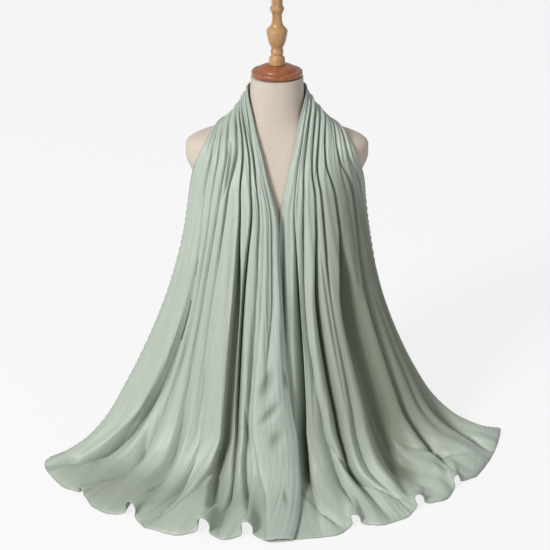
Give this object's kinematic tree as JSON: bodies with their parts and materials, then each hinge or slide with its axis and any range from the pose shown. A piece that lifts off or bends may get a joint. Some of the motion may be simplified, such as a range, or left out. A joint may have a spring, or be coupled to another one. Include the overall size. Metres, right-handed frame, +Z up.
{
  "type": "headscarf on a limbless dress form",
  "caption": "Long crinkled satin headscarf laid round the neck of a limbless dress form, both ends falling in front and spread on the ground.",
  "frame": {"origin": "centre of the dress form's flat underside, on its vertical axis", "axes": "+Z up, -Y the front that the scarf's ends fall over, +X the wearer's left"},
  "size_m": [0.9334, 0.6023, 0.9546],
  "materials": {
    "satin": "sage green crinkled satin, soft sheen along its length",
    "satin_reverse": "the same cloth's duller reverse, fine lengthwise crinkle",
    "linen": "matt beige linen cover",
    "cap_wood": "reddish brown varnish",
    "finial_wood": "light oiled wood"
  },
  "bodies": {
    "root": {"scarf_back_neck": "satin", "scarf_end_left": "satin", "scarf_end_right": "satin", "scarf_turned_edge": "satin_reverse", "dress_form": "linen", "neck_cap": "cap_wood", "finial": "finial_wood"}
  },
  "joints": []
}
